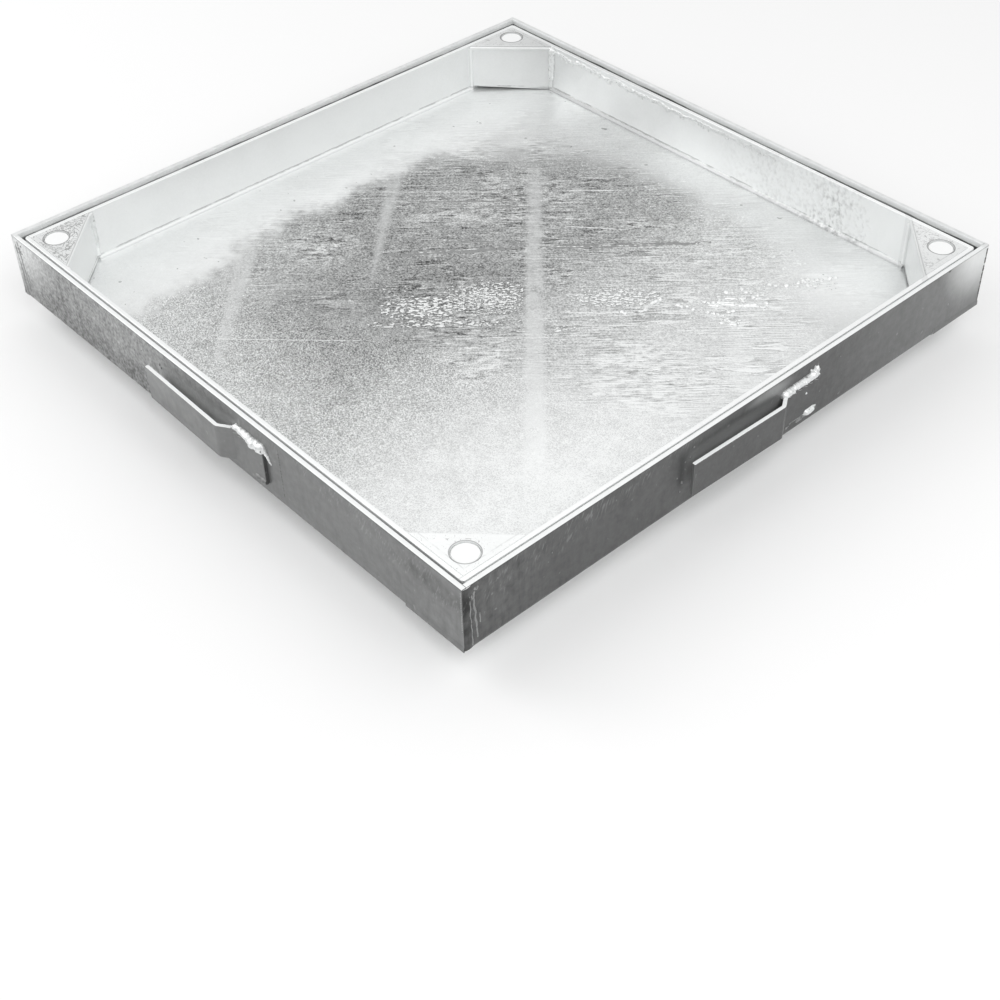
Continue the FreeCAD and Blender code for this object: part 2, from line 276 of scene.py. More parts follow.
# Tone of the dull zinc from left to right, where 0 is x = -0.25 and 1 is x = 0.75
DULL_TONES = (
    (0.05, 0.4), (0.13, 0.375), (0.2, 0.41), (0.26, 0.45), (0.305, 0.61), (0.37, 0.71),
    (0.46, 0.83),
)
# Paler and darker places in the dull and in the bright zinc (mm): centre, inner and outer
# radius, tone
DULL_SPOTS = (
    ((-180, -130), 20, 110, 0.12),
    ((200, -190), 50, 200, 0.09),
    ((-120, 55), 10, 60, 0.09),
    ((-10, -30), 30, 90, -0.08),
)
BRIGHT_SPOTS = (
    ((203, 222), 10, 75, 0.13),
    ((-130, 235), 20, 90, -0.13),
)


def tray_floor_zinc():
    """Sheet with a dull speckled middle, drag lines across it, pale wiped stripes, and smooth
    bright bands along two of its walls."""
    material, surface, place = new_material("tray_floor_zinc")
    wander = place.swing(20, 0.03, 5) + place.swing(110, 0.016, 3)
    x = place.dot(X_WAY) + wander
    y = place.dot(Y_WAY) + wander * 0.35

    # Where the zinc is dull; its rim is frayed into specks
    dull = (
        (x - y.smooth(-0.1, -0.24, 0, 0.02)).smooth(-0.228, -0.176)
        * y.smooth(0.275, 0.185)
        * (y - x).smooth(0.44, 0.21)
        * (x + y).smooth(0.42, 0.3)
    )
    streaky = place.dot((0.55, -1.45, 0)).smooth(0.2, 0.07, 0.05, 1)
    specks = place.noise(640, 2, 0.75) * streaky
    specks += place.noise(1050, 1, 0.75) * (1 - streaky)
    frayed = (dull + (specks - 0.5) * 1.6).smooth(0.25, 0.75)
    dull = dull * 0.5 + frayed * 0.5
    stripes = [
        place.stripe(*metres(shape), WIPE_SOFT, WIPE_FADE) * strength for *shape, strength in WIPES]
    wiped = reduce(Value.largest, stripes) * place.noise(60, 4).smooth(0.3, 0.48, 0.45, 1)
    middle = (x + 0.25).ramp(*DULL_TONES).largest(y.smooth(-0.1, -0.27, 0.36, 0.68))
    middle += place.spots(on_floor(DULL_SPOTS))
    bright = x.smooth(-0.05, -0.24, 0.74, 0.92) + place.spots(on_floor(BRIGHT_SPOTS))
    bright += place.swing(18, 0.06)
    tone = bright * (1 - dull) + middle * dull

    # Grain, specks, drag lines, waves and dimples, weaker where the zinc is bright or wiped
    rough_share = (dull * 0.78 + 0.22) * ((1 - wiped) * 0.7 + 0.3)
    grain = specks.smooth(0.52, 0.63) - specks.smooth(0.49, 0.37)
    grain *= tone.smooth(0.62, 0.84, 1, 0.45)
    mottle = place.swing(75, 1, 3)
    zones = place.noise(11, 2).smooth(0.37, 0.58, 0.08, 1) * streaky
    strokes = place.stretched(DRAG_ANGLE, (24, 380, 24))
    # Each drag line is paler on one side and darker on the other: painted highlight and painted
    # shade of its ridge
    beside = strokes.vector("ADD", (0, 0.26, 0))
    lines = strokes.noise(1, 3, 0.6, 0.6) - beside.noise(1, 3, 0.6, 0.6)
    waves = place.stretched(DRAG_ANGLE, (13, 95, 13)).noise(1, 4, 0.55, 0.4)
    # Each wave has a pale crest and a dark trough beside it: painted highlight and painted shade
    crest = abs(waves - 0.53).smooth(0.034, 0.012)
    trough = abs(waves - 0.478).smooth(0.034, 0.012)
    broken = place.noise(30, 3).smooth(0.44, 0.58) * streaky
    sparkles = place.noise(330, 1).smooth(0.7, 0.76)
    dimpled = reduce(Value.largest, [place.spot(*row) for row in on_floor(DIMPLED)])
    ripples = place.stretched(DRAG_ANGLE, (110, 300, 110)).swing(1, 1, 2)
    marks = (
        grain * streaky.between(0.33, 0.23)
        + sparkles * 0.28
        + mottle * 0.12
        + lines.smooth(0.05, 0.15) * zones * 0.27
        - lines.smooth(-0.05, -0.15) * zones * 0.23
        + crest * broken * 0.2
        - trough * broken * 0.18
        + (ripples + 0.12) * dimpled * 0.62
    )
    tone = tone + marks * rough_share + wiped * dull * tone.smooth(0.42, 0.78, 0.19, 0.05)

    quiet = place.swing(300, 0.03, 3)
    pits = place.noise(150, 1).smooth(0.745, 0.775) * (1 - dull) * -0.35
    foot_of_walls = (
        place.noise(90, 2).smooth(0.3, 0.6)
        * place.reach().smooth(TRAY_INNER - 0.012, TRAY_INNER - 0.004)
        * x.smooth(-0.1, -0.22, 0.05, 0.13)
    )
    tone = (tone + quiet + pits + foot_of_walls).smallest(ROUGH_WHITE)
    relief = (
        lines * zones * 0.0008
        + (crest - trough) * broken * 0.00015
        + ripples * dimpled * 0.0003
        + grain * 0.00006
    )
    relief = relief * rough_share + place.noise(16, 1) * 0.0012
    finish_surface(surface, tone, tone.smooth(0.3, 0.8, 0.38, 0.28), relief, 0.6)
    return material


# Speckled patches on the back wall of the tray, and a painted shade and a painted highlight on it
WALL_SPECKLES = (
    ((0.09, TRAY_INNER, 0.056), 0.03, 0.1, 0.7),
    ((0.146, TRAY_INNER, 0.043), 0.01, 0.05, 1.5),
)
# Painted shade on the left part of the back wall, and a painted highlight near its right end
WALL_SHADE_AND_HIGHLIGHT = (
    ((-0.155, TRAY_INNER, 0.05), 0.05, 0.15, -0.17),
    ((0.22, TRAY_INNER, 0.06), 0.02, 0.08, 0.06),
)


def tray_zinc(name, clean, seam_depth):
    """Smooth bright zinc of the walls, boxes and lids of the tray, with speckled patches on the
    back wall, thin dark lines where plates meet, and painted light and shade. clean is its plain
    tone."""
    material, surface, place = new_material(name)
    from_side, from_front = abs(place.dot(X_WAY)), abs(place.dot(Y_WAY))
    beyond = from_side.largest(from_front) - TRAY_INNER
    height = place.dot(Z_WAY)
    below_top = TRAY_TOP - height
    fine = place.swing(420, 0.03, 3)
    speckled = place.spots(WALL_SPECKLES) * place.noise(36, 3).smooth(0.28, 0.5)
    speckle = place.stretched(0, (260, 260, 200)).swing(1, 0.36, 3) - 0.04
    # Inner faces of the walls are a little paler: painted light
    lit_inner_face = beyond.smooth(0.0015, 0.0005)
    # Outer faces in the groove round the tray are paler as painted light, and much darker near the
    # front corner as painted shade
    outer_face = beyond.smooth(0.0034, 0.0039) * below_top.smooth(0.0002, 0.0007)
    front_groove_shade = (
        place.spot((TRAY_INNER - 0.012, -TRAY_INNER, TRAY_TOP), 0.04, 0.1)
        * (1 - from_side.smooth(0.2755, 0.2765))
    )

    # Thin lines: where lids and walls meet, along the floor, and round the plugs
    wander = place.swing(160, 0.0006, 2)
    on_top = below_top.smooth(0.0012, 0.0004)
    seam = (
        abs(beyond + wander + 0.0045).smooth(0.0007, 0.0003)
        * on_top
        * from_side.smallest(from_front).smooth(0.214, 0.222)
        * place.noise(130, 2).smooth(0.42, 0.56, 0.15, 1)
    )
    floor_line = (
        abs(height + wander - (FLOOR_TOP + 0.0036)).smooth(0.0009, 0.0003)
        * place.noise(60, 2).smooth(0.36, 0.52)
    )
    bead = (
        height.smooth(FLOOR_TOP + 0.003, FLOOR_TOP + 0.0022)
        * place.dot(Y_WAY).smooth(0.25, 0.27, 0.06, -0.24)
    )
    box_plate = abs(place.dot((1, 1, 0)) + GUSSET_SUM).smooth(0.0045, 0.003)
    aside, ahead = from_side - PLUG_CENTRE, from_front - PLUG_CENTRE
    from_plug = (aside * aside + ahead * ahead).root()
    ring = abs(from_plug - (PLUG_RADIUS + 0.0003)).smooth(0.0006, 0.0003) * on_top
    tone = (
        place.swing(30, 0.05, 4) + clean + fine
        + speckle * speckled
        + seam * -seam_depth
        + floor_line * -0.3
        + bead
        + place.spots(WALL_SHADE_AND_HIGHLIGHT)
        + box_plate * -0.12
        + lit_inner_face * 0.04
        + outer_face * (front_groove_shade * -0.45 + 0.1)
        + ring * -0.5
        + place.spot((TRAY_INNER, -TRAY_INNER, TRAY_TOP), 0.1, 0.25) * ((1 - clean) * 0.6)
    ).smallest(SMOOTH_WHITE)
    relief = (
        place.noise(20, 2) * 0.0006
        + place.noise(75, 3, 0.55, 1.6) * 0.00025
        + speckle * speckled * 0.0002
        + fine * 0.0012
    )
    metallic = 0.4 - outer_face * 0.4
    finish_surface(surface, tone, tone.smooth(0.6, 0.9, 0.36, 0.3), relief, metallic)
    return material


# Painted highlights on the outer faces of the frame near two corners, and a dark nick: centre,
# inner and outer radius, tone
FACE_HIGHLIGHTS_AND_NICK = (
    ((-FRAME_HALF, -FRAME_HALF, FRAME_TOP + 0.012), 0.014, 0.08, 0.54),
    ((FRAME_HALF, 0.2327, FRAME_TOP - 0.001), 0.0008, 0.0022, -0.25),
    ((FRAME_HALF, FRAME_HALF, FRAME_TOP + 0.012), 0.02, 0.07, 0.62),
    ((FRAME_HALF, FRAME_HALF, 0.05), 0.02, 0.26, 0.1),
)
# Paler and darker spots drawn out along the front and the right face, which LONG shrinks to round
LONG = 0.25
LONG_FRONT_SPOTS = (
    ((LONG * -0.13, -FRAME_HALF, 0.068), 0.01, 0.04, 0.11),
    ((LONG * 0.262, -FRAME_HALF, 0.066), 0.005, 0.014, -0.06),
)
LONG_RIGHT_SPOTS = (((FRAME_HALF, LONG * 0.016, 0.0765), 0.002, 0.008, 0.2),)


def frame_zinc():
    """Zinc of the frame and its straps: pale on level faces and on those turned to the tray, as
    painted light, duller and darker on outer upright ones as painted shade, where the melt ran
    down in streaks. The shaded side, turned to +X, is the darkest, also as painted shade."""
    material, surface, place = new_material("frame_zinc")
    normal = Value(place.socket.node.outputs["Normal"])
    height = place.dot(Z_WAY)
    below_top = FRAME_TOP - height
    level = abs(normal.dot(Z_WAY)).smooth(0.3, 0.75)
    inward = normal.dot(place).smooth(-0.12, -0.2)
    shaded = normal.dot((0.95, 0.3, 0)).smooth(0.2, 0.8)
    # Changes from a number for the other sides to one for the shaded side
    by_side = shaded.between
    runs = place.stretched(0, (300, 300, 42)).swing(1, 1, 4)
    mottle = place.swing(130, 1, 3)
    fine = place.swing(380, 1, 2)
    clouds = place.swing(16, 1, 3)
    on_frame = place.reach().smooth(FRAME_HALF + 0.0022, FRAME_HALF + 0.0012)
    textured = place.spot((-FRAME_HALF, -FRAME_HALF, 0.05), 0.18, 0.36) * on_frame
    corner = place.stretched(0, (1, 1, 0.12)).spot((FRAME_HALF, -FRAME_HALF, 0.006), 0.004, 0.013)
    lively = (
        place.spot((-FRAME_HALF, -FRAME_HALF, 0.05), 0.16, 0.38)
        + place.spot((FRAME_HALF, -FRAME_HALF, 0.07), 0.03, 0.1) * (shaded * 0.7 + 0.3)
        + 0.35
    ) * (on_frame * 0.7 + 0.3)

    # Slanting wisps under the top edge, most of them near the front corner
    parts = {"X": place.dot((1, 1, -0.35)) * 560, "Y": height * 130}
    rightward = place.dot((-1, 1, 0))
    below_wisps = below_top - rightward.smooth(-0.36, -0.54) * 0.02
    wisps = (
        place.made("ShaderNodeCombineXYZ", parts).noise(1, 2).smooth(0.52, 0.68)
        * place.noise(45, 2).smooth(0.38, 0.56)
        * below_wisps.smooth(0.014, 0.004)
        * rightward.smooth(-0.3, -0.4, 0.25, 1)
        * on_frame
    )

    # What the straps shade and mirror behind them
    along = normal.dot(place.vector("CROSS_PRODUCT", Z_WAY))
    behind = (
        (along + (1 - shaded) * -0.006).smooth(-0.079, -0.066)
        * along.smooth(0.042, 0.026)
        * height.smooth(0.0745, 0.0625)
        * height.smooth(0.036, 0.05)
        * on_frame
    )
    # Outer upright faces take a dark tone, darker still on the shaded side: painted shade
    face = (
        by_side(0.22, 0.11)
        + place.spots(FACE_HIGHLIGHTS_AND_NICK)
        + place.stretched(0, (LONG, 1, 1)).spots(LONG_FRONT_SPOTS)
        + place.stretched(0, (1, LONG, 1)).spots(LONG_RIGHT_SPOTS)
        + behind * by_side(0.58, 0.38)
        + runs * lively * by_side(0.07, 0.04)
        + mottle * lively * by_side(0.08, 0.045)
        + fine * (textured * 0.28 + 0.02)
        + corner * shaded * -0.05
        + clouds * 0.03
        + wisps * by_side(0.08, 0.1)
        + place.noise(190, 1).smooth(0.73, 0.78) * 0.09
    )
    # Outer faces darker just under the top edge: painted shade of the rounded edge
    shade_under_lip = below_top.smooth(0.0016, 0.0004, 1, 0.55)

    # Top edge, and the faces in the groove round the tray, which are darker deep in the groove as
    # painted shade
    far = place.dot((-1, 0, 0)).largest(place.dot(Y_WAY)).smooth(0.276, 0.28) * (1 - inward)
    deep = (below_top - place.swing(30, 0.0012)).smooth(0.004, 0.0054)
    top = (
        below_top.smooth(0.01, 0.004, 0.98, 0.93)
        + mottle * 0.05
        + (mottle - 1.2) * far * 0.11
        + inward * deep * place.noise(9).smooth(0.35, 0.55, 0.65, 1) * -0.9
    )
    # The level faces of the lump under the front strap's pad take the darker face tone instead of
    # the pale top tone: painted shade
    shaded_lump = place.spot((0.064, -0.2875, 0.036), 0.006, 0.01) * 0.8
    # Level faces and those turned to the tray take the pale top tone as painted light, the others
    # the darker face tone
    pale = level.largest(inward) * (1 - shaded_lump)
    tone = (top * pale + face * shade_under_lip * (1 - pale)).smallest(SMOOTH_WHITE)
    relief = (
        clouds * 0.0006
        + (runs + mottle) * lively * 0.00012
        + fine * textured * 0.0001
        + place.noise(500, 3, 0.6) * 0.00006
    )
    metallic = 0.45 - inward.largest(level * (1 - on_frame)) * 0.4
    finish_surface(surface, tone, mottle.smooth(-0.6, 0.6, 0.46, 0.34), relief, metallic)
    return material


def weld_zinc(name, clean):
    """Lumpy zinc on welds, runs and drops, of the given plain tone."""
    material, surface, place = new_material(name)
    pits = place.noise(520, 2).smooth(0.36, 0.3, 0, -0.4 * clean)
    tone = (place.swing(260, 0.18 * clean, 3) + clean + pits).smallest(ROUGH_WHITE)
    finish_surface(surface, tone, 0.32, place.noise(420, 3), 0.5, 0.0002)
    return material


def crust_zinc(name, foot, crown, foot_shade_tone, crown_tone):
    """Crusts on a level face: pale on top, and darker towards the foot as painted shade."""
    material, surface, place = new_material(name)
    tone = place.dot(Z_WAY).smooth(foot, crown, foot_shade_tone, crown_tone)
    tone = (tone + place.swing(500, 0.12, 2)).smallest(ROUGH_WHITE)
    finish_surface(surface, tone, 0.34, place.noise(600, 3), 0.5, 0.0001)
    return material


def even_surface(
        name, tone, unevenness, grain, depth, roughness, metallic, tint=ZINC_TINT, squeeze=None):
    """Surface of one tone, with some unevenness in it and the grain of its bumps."""
    material, surface, place = new_material(name)
    if squeeze:
        place = place.stretched(0, squeeze)
    tone = place.swing(*unevenness) + tone
    finish_surface(surface, tone, roughness, place.noise(*grain), metallic, depth, tint)
    return material


def dress(material, names):
    for name in names:
        for place in NODES[name].material_slots:
            place.material = material


def around(places, *names):
    return [f"{name}_{place}" for name in names for place in places]


# Even surfaces: tone, unevenness (scale, swing, detail), grain (scale, detail), depth of its
# bumps, roughness, metallic, tint, squeeze of the noise; and the pieces that they dress
EVEN_SURFACES = {
    "nut_zinc": ((0.66, (130, 0.12, 4), (240, 4), 0.0003, 0.36, 0.65),
                 around(CORNERS, "long_nut")),
    "bolt_steel": ((0.57, (1, 0.05), (1, 2), 0.00004, 0.3, 1, ZINC_TINT, (40, 40, 1500)),
                   around(CORNERS, "locking_bolt", "bolt_washer")),
    "white_plastic": ((0.9, (45, 0.02), (900, 2), 0.00003, 0.38, 0, (0.993, 1, 0.997)),
                      around(CORNERS, "hole_plug")),
    "black_rubber": ((0.035, (1300, 0.01), (1300, 2), 0.0001, 0.75, 0, (1, 1, 1)),
                     ["seal_strip"]),
}
# Plain tones of frozen zinc, and for crusts the heights of foot and crown and the tones there
FROZEN_TONES = {"weld": 0.88, "run": 0.29, "groove": 0.08, "edge": 0.42, "dross": 0.32}
CRUST_TONES = {
    "crust": (FLOOR_TOP + 0.0001, FLOOR_TOP + 0.0006, 0.22, 0.86),
    "grey_crust": (FLOOR_TOP + 0.0001, FLOOR_TOP + 0.0005, 0.36, 0.9),
    "pale_crust": (FLOOR_TOP + 0.0001, FLOOR_TOP + 0.0005, 0.56, 0.93),
    "lid_crust": (TRAY_TOP, TRAY_TOP + 0.00022, 0.58, 0.93),
    "lid_curl": (TRAY_TOP + 0.00005, TRAY_TOP + 0.00035, 0.34, 0.93),
}


def make_looks():
    """Dresses the solids, and gives the looks of what is frozen on them."""
    dress(tray_floor_zinc(), ["tray_floor"])
    walls = around(SIDES, "tray_wall") + around(CORNERS, "corner_gusset")
    dress(tray_zinc("tray_zinc", 0.93, 0.22), walls)
    dress(tray_zinc("lid_zinc", 0.77, 0.14), around(CORNERS, "corner_plate"))
    dress(frame_zinc(), around(SIDES, "frame_angle", "tie_strap"))
    for name, (look, names) in EVEN_SURFACES.items():
        dress(even_surface(name, *look), names)
    looks = {name: weld_zinc(f"{name}_zinc", tone) for name, tone in FROZEN_TONES.items()}
    return looks | {name: crust_zinc(f"{name}_zinc", *row) for name, row in CRUST_TONES.items()}


def add_piece(name, mesh, quarter, look):
    """Piece that is modelled on the front side or corner, and turned about Z by quarters."""
    mesh.transform(Matrix.Rotation(math.radians(90 * quarter), 4, "Z"))
    mesh.materials.append(LOOKS[look])
    for polygon in mesh.polygons:
        polygon.use_smooth = True
    piece = add_object(name, mesh)
    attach(piece, BODY)


def mesh_of(shape, name):
    mesh = bpy.data.meshes.new(name)
    shape.to_mesh(mesh)
    shape.free()
    return mesh


# How deep frozen metal is rooted in the face that it lies on
ROOT = 0.0004
# Edges of frozen metal that turn by more than this stay sharp, in radians
SHARP = 1.4
# Steps of the grids for frozen metal on the frame, the lids and the flange, and on the floor
FACE_STEP, FLOOR_STEP = 0.0004, 0.0005
UPRIGHT, LEVEL = (X_WAY, Z_WAY), (X_WAY, Y_WAY)


def frozen(levels, step, corner, along, up):
    """Closed mesh of metal frozen on a flat face. levels tells how far it stands out of the face
    at each step along and up; where that isn't above zero, the face stays bare."""
    outward = along.cross(up)
    levels[[0, -1], :] = -ROOT
    levels[:, [0, -1]] = -ROOT
    shape = bmesh.new()
    tops, roots = {}, {}

    def corners_of(column, row):
        keys = ((column, row), (column + 1, row), (column + 1, row + 1), (column, row + 1))
        for key in keys:
            if key in tops:
                continue
            level = float(levels[key])
            place = corner + key[0] * step * along + key[1] * step * up
            tops[key] = shape.verts.new(place + max(level, -ROOT) * outward)
            roots[key] = shape.verts.new(place - ROOT * outward) if level > 0 else tops[key]
        return keys

    covered = levels > 0
    cells = covered[:-1, :-1] | covered[1:, :-1] | covered[1:, 1:] | covered[:-1, 1:]
    for column, row in np.argwhere(cells).tolist():
        keys = corners_of(column, row)
        shape.faces.new([tops[key] for key in keys])
        shape.faces.new([roots[key] for key in reversed(keys)])
    for edge in shape.edges:
        edge.smooth = edge.calc_face_angle(0) < SHARP
    return mesh_of(shape, "frozen")


def drop_levels(size, step, drops, lumps, seed):
    """Levels of drops that flow into one another. Each drop is a place (u, v), two radii on the
    face and a rise, and the result is lumpy by the given amount."""
    u = np.arange(0, size[0] + step, step)[:, None]
    v = np.arange(0, size[1] + step, step)[None, :]
    total = np.zeros((u.size, v.size))
    for drop_u, drop_v, radius_u, radius_v, rise in drops:
        share = 1 - ((u - drop_u) / radius_u) ** 2 - ((v - drop_v) / radius_v) ** 2
        total += (rise * np.sqrt(np.maximum(share, 0))) ** 3
    levels = np.cbrt(total) - ROOT / 2
    for column, row in np.argwhere(levels > 0).tolist():
        place = (column * step * 380, row * step * 380, seed)
        bump = noise.noise(place) + 0.5 * noise.noise(Vector(place) * 2.3)
        levels[column, row] += lumps * bump
    return levels


def draw(rng, *ranges):
    """One random number from each range."""
    return [rng.uniform(*ends) for ends in ranges]


def freeze_drops(drops, corner, size, lumps, seed, name, quarter, look,
                 ways=UPRIGHT, step=FACE_STEP):
    """Piece of drops in a window on a face, with places measured from the window's corner."""
    levels = drop_levels(size, step, drops, lumps, seed + quarter)
    add_piece(name, frozen(levels, step, Vector(corner), *ways), quarter, look)


def bead(start, end, radius, rise, pitch, rng):
    """Drops of a weld bead from start to end on its face. Radius and rise are pairs, for its
    start and end."""
    run = Vector(end) - Vector(start)
    count = max(2, round(run.length / pitch))
    drops = []
    for index in range(count + 1):
        share = index / count
        place = Vector(start) + share * run
        size = (radius[0] + share * (radius[1] - radius[0])) * rng.uniform(0.92, 1.08)
        height = (rise[0] + share * (rise[1] - rise[0])) * rng.uniform(0.95, 1.05)
        drops.append((place.x, place.y + rng.uniform(-0.0003, 0.0003), size * 0.8, size, height))
    return drops


def fingers(place, angles, reach, radius, rise):
    """Drops that spread from a place like the fingers of a splash."""
    drops = []
    for angle in angles:
        way = Vector((math.cos(math.radians(angle)), math.sin(math.radians(angle))))
        for share in (0.35, 0.6, 0.8, 1):
            at = Vector(place) + share * reach * way
            size = radius * (1.25 - 0.75 * share)
            drops.append((at.x, at.y, size, size, rise * (1.1 - 0.5 * share)))
    return drops


# Strap pads, seen from outside, with the side's own left to right as u and the height as v
PAD_START, PAD_END = 0.033, 0.07
PAD_TOP, PAD_FOOT = FRAME_TOP - 0.016, FRAME_TOP - 0.046
SPLASH = (PAD_END - 0.004, PAD_TOP + 0.0022)
# Beads on the pads at the front and back, and on the others: what they are part of, start,
# end, radii, rises, pitch of the drops
PLAIN_BEADS = (
    ("top", (PAD_START + 0.003, PAD_TOP + 0.0024), (PAD_END - 0.01, PAD_TOP),
     (0.0024, 0.0036), (0.0036, 0.0046), 0.0019),
    ("top", (PAD_END - 0.011, PAD_TOP), (PAD_END - 0.0025, PAD_TOP - 0.0002),
     (0.004, 0.0044), (0.0048, 0.0052), 0.0025),
    ("top", (PAD_END + 0.0006, PAD_TOP - 0.0014), (PAD_END + 0.0058, PAD_TOP - 0.01),
     (0.0018, 0.0009), (0.0022, 0.001), 0.0013),
    ("foot", (PAD_START + 0.002, PAD_FOOT - 0.0004), (PAD_START + 0.004, PAD_FOOT - 0.0006),
     (0.0009, 0.0007), (0.0024, 0.0022), 0.0015),
    ("smear", (PAD_START + 0.0065, PAD_TOP + 0.011), (PAD_START + 0.0075, PAD_TOP + 0.003),
     (0.0012, 0.0022), (0.0004, 0.0008), 0.0014),
)
SPLASHED_BEADS = (
    ("top", (PAD_START - 0.0015, PAD_TOP + 0.0002), (PAD_START + 0.006, PAD_TOP + 0.0012),
     (0.0034, 0.0026), (0.0042, 0.004), 0.0019),
    ("top", (PAD_START + 0.006, PAD_TOP + 0.001), SPLASH,
     (0.0025, 0.003), (0.004, 0.0044), 0.0019),
    ("foot", (PAD_END - 0.012, PAD_FOOT), (PAD_END - 0.004, PAD_FOOT + 0.001),
     (0.0034, 0.0028), (0.0052, 0.0049), 0.0015),
    ("smear", (PAD_START + 0.0005, 0.028), (PAD_START + 0.0005, 0.034),
     (0.0006, 0.0006), (0.0005, 0.0005), 0.0014),
)
# Windows for these parts: corner, size, look, lumps
PAD_WINDOWS = {
    "top": ((0.026, 0.052), (0.054, 0.028), "weld", 0.00055),
    "foot": ((0.026, 0.0215), (0.05, 0.022), "weld", 0.00015),
    "smear": ((0.026, 0.0255), (0.064, 0.054), "run", 0.0002),
}


def strap_drops(side, rng):
    """Drops of the bead on a pad's top edge, of the lumps at its foot, and of dull smears."""
    *beads, last = PLAIN_BEADS if side in ("front", "back") else SPLASHED_BEADS
    parts = {label: [] for label in PAD_WINDOWS}
    for label, *shape in beads:
        parts[label] += bead(*shape, rng)
    if side in ("right", "left"):
        parts["top"] += fingers(SPLASH, (12, 48, 82, 128), 0.006, 0.002, 0.003)
        parts["top"].append((PAD_END - 0.014, PAD_TOP - 0.01, 0.0015, 0.0016, 0.004))
        for _ in range(30):
            share = rng.random()
            v = 0.0335 - 0.0035 * share + rng.uniform(-1, 1) * (0.006 - 0.0035 * share)
            sizes = draw(rng, (0.0014, 0.0036), (0.0005, 0.0009), (0.0003, 0.0006))
            parts["smear"].append((PAD_START + 0.003 + 0.027 * share, v, *sizes))
    parts[last[0]] += bead(*last[1:], rng)
    return parts


def make_strap_welds():
    """Beads, lumps and smears on the pads of the four straps."""
    for quarter, side in enumerate(SIDES):
        parts = strap_drops(side, random.Random(40 + quarter))
        for label, (corner, size, look, lumps) in PAD_WINDOWS.items():
            drops = [(u - corner[0], v - corner[1], *rest) for u, v, *rest in parts[label]]
            freeze_drops(drops, (corner[0], -FRAME_HALF, corner[1]), size, lumps, 3,
                         f"strap_bead_{label}_{side}", quarter, look)


def make_face_lines():
    """Thin upright line beside each strap pad: dark on the front and
    back, pale on the right and left."""
    corner = (PAD_END - 0.004, -FRAME_HALF, PAD_FOOT - 0.008)
    for quarter, side in enumerate(SIDES):
        pale = side in ("right", "left")
        u = 0.0008 if pale else 0.018
        drops = bead((0.004 + u, 0.004), (0.004 + u * 0.95, 0.048), (0.0006, 0.0006),
                     (0.0004, 0.0004), 0.0014, random.Random(200 + quarter))
        freeze_drops(drops, corner, (0.03, 0.052), 0.0002, 91,
                     f"face_line_{side}", quarter, "run" if pale else "groove")


def make_gusset_welds():
    """Lumpy upright bead where a corner box meets the wall at its end."""
    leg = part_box("corner_gusset_front_left")[1][0] - 0.0025 + TRAY_INNER
    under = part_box("corner_plate_front_left")[0][2]
    corner = (-TRAY_INNER, -TRAY_INNER + leg - 0.01, FLOOR_TOP - 0.001)
    size = (0.022, under - FLOOR_TOP + 0.003)
    for quarter, name in enumerate(CORNERS):
        rng = random.Random(60 + quarter)
        widening = 1.45 if name == "back_left" else 1
        drops = []
        v = 0.3 * size[1]
        while v < size[1] - 0.001:
            width = (rng.uniform(0.003, 0.0034) - 0.001 * (1 - v / size[1])) * widening
            u = 0.0105 + rng.uniform(-0.0003, 0.0003)
            drops.append((u, v, width, 0.0032, rng.uniform(0.003, 0.0034)))
            v += rng.uniform(0.002, 0.0034)
        freeze_drops(drops, corner, size, 0.0003, 23,
                     f"gusset_weld_{name}", quarter, "weld", (Y_WAY, Z_WAY))


def make_rim_runs():
    """Zinc that ran down and froze under the inner top edge of the back wall."""
    rng = random.Random(81)
    size = (0.29, 0.0155)
    drops = []
    u = 0.003
    while u < size[0] - 0.004:
        v = size[1] - 0.005 + 0.0034 * noise.noise((u * 60, 4, 0))
        fading = min(1, max(0, (u - 0.15) / (0.28 - 0.15)))
        strength = 1 - 0.6 * fading * fading * (3 - 2 * fading)
        radii = draw(rng, (0.0018, 0.0034), (0.0014, 0.0026))
        drops.append((u, v, *radii, 0.001 * strength))
        if rng.random() < 0.35:
            lower = u + rng.uniform(-0.001, 0.001), v - rng.uniform(0.0015, 0.0035)
            drops.append((*lower, 0.0016, rng.uniform(0.0012, 0.0018), 0.0008 * strength))
        u += rng.uniform(0.0016, 0.0036)
    freeze_drops(drops, (-0.216, TRAY_INNER, TRAY_TOP - 0.016), size, 0.0004, 31,
                 "rim_runs_back", 0, "weld", step=FLOOR_STEP)


# Upright lines beside an outer corner of the frame: what they are part of, u at the top and
# at the foot, foot and top, rise
CORNER_LINES = (
    ("ridge", 0.0052, 0.0066, 0.007, 0.056, 0.0009),
    ("ridge", 0.009, 0.0116, 0.011, 0.052, 0.0006),
    ("ridge", 0.0138, 0.0146, 0.018, 0.03, 0.0004),
    ("groove", 0.0012, 0.0016, 0.008, 0.057, 0.00045),
    ("groove", 0.0034, 0.0038, 0.01, 0.04, 0.0004),
)


# Ranges for the specks above them: u, v, the two radii and the rise
CORNER_SPECKS = (
    (0.004, 0.014), (0.046, 0.058), (0.0005, 0.0011), (0.0007, 0.0016), (0.0004, 0.0006),
)


def corner_line(u_top, u_foot, v_foot, v_top, rise, quarter):
    """Drops of one wavy line from its foot to its top."""
    drops = []
    v = v_foot
    while v < v_top:
        u = u_top + (u_foot - u_top) * (v_top - v) / (v_top - v_foot)
        u += 0.0007 * noise.noise((v * 160, u_top * 900, quarter))
        strength = rise * (0.75 + 0.5 * noise.noise((v * 90, 7, quarter + u_top)))
        drops.append((u, v, 0.0008, 0.0022, strength))
        v += 0.0012
    return drops


